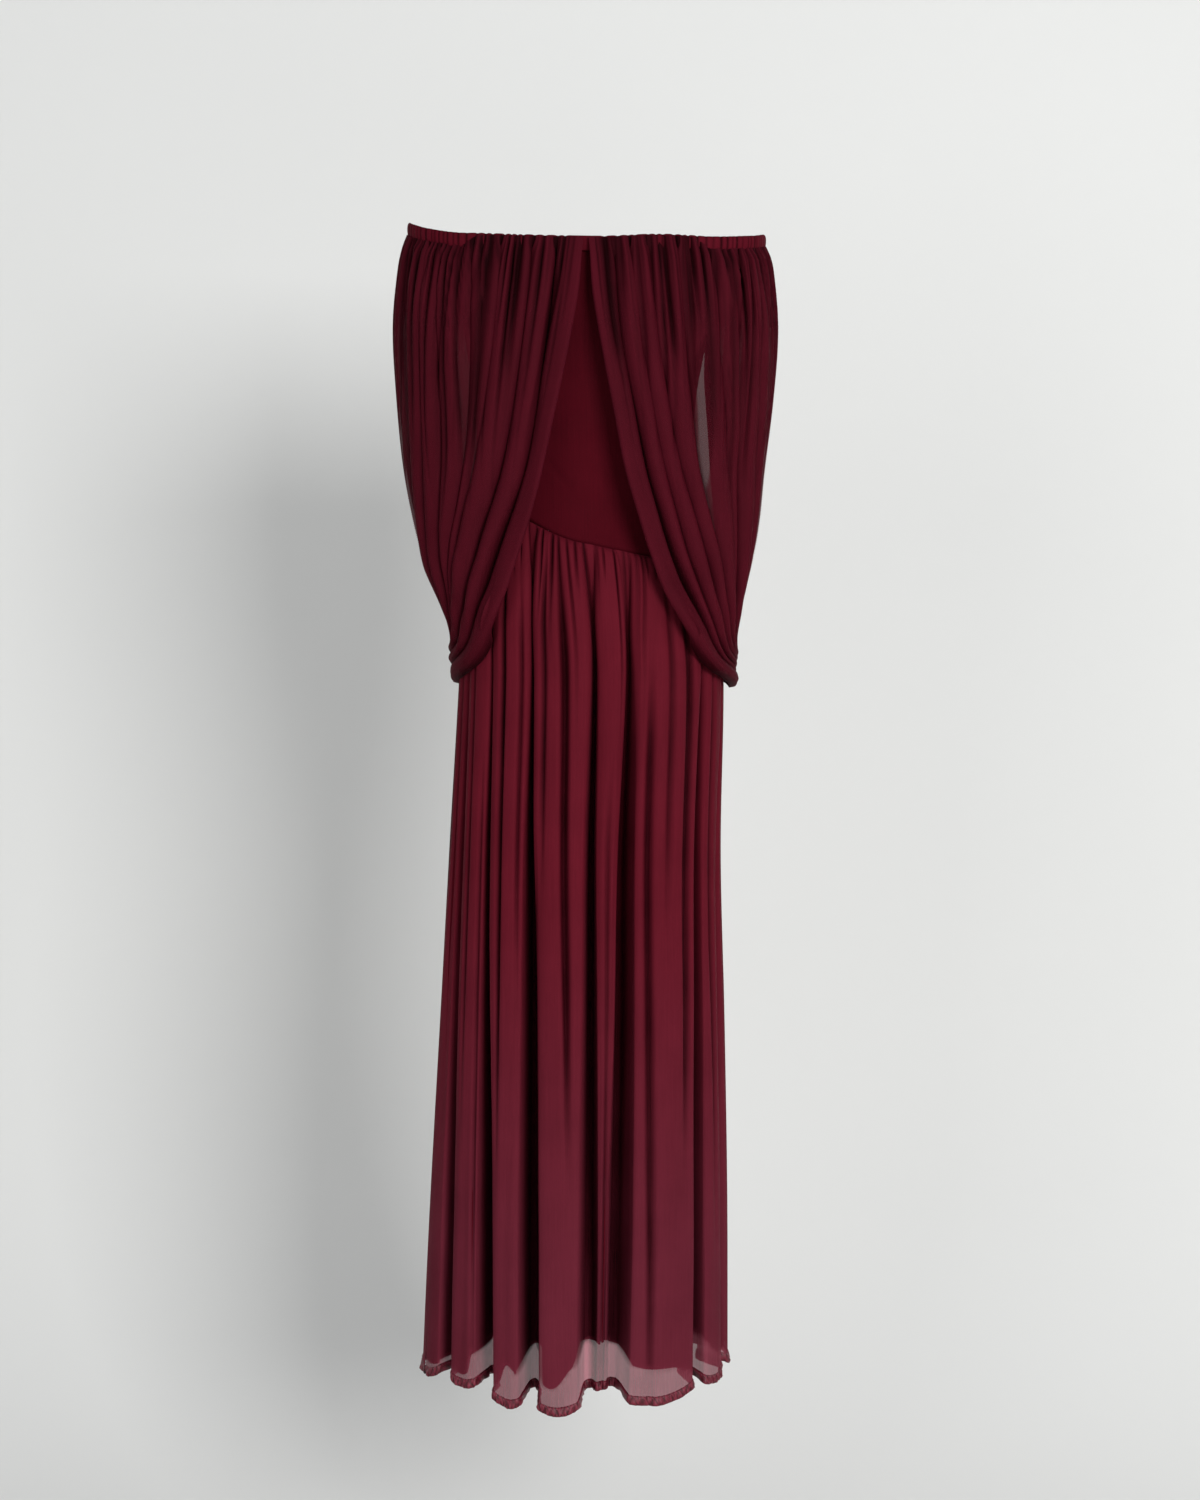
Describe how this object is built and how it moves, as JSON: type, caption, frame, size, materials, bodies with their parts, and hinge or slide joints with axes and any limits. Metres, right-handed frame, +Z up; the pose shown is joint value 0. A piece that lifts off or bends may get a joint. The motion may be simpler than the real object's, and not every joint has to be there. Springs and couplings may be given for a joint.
{
  "type": "off-shoulder maxi dress",
  "caption": "Floor-length off-shoulder dress with a fitted bodice, gathered mesh skirt over a lining and mesh drapes looped over the arms.",
  "frame": {"origin": "middle of the neckline, level with the band on the wearer's arms", "axes": "+Z up, +Y towards the garment's front, +X towards the wearer's right"},
  "size_m": [0.4362, 0.3032, 1.3333],
  "materials": {
    "mesh": "sheer matte stretch mesh, wine red",
    "jersey": "opaque matte jersey, wine red",
    "casing": "gathered mesh over elastic, wine red"
  },
  "bodies": {
    "root": {"neck_band": "casing", "bodice_back": "jersey", "bodice_front": "jersey", "drape_left": "mesh", "drape_right": "mesh", "skirt_back": "mesh", "skirt_front": "mesh", "lining_back": "jersey", "lining_front": "jersey", "hem_back": "mesh", "hem_front": "mesh"}
  },
  "joints": []
}
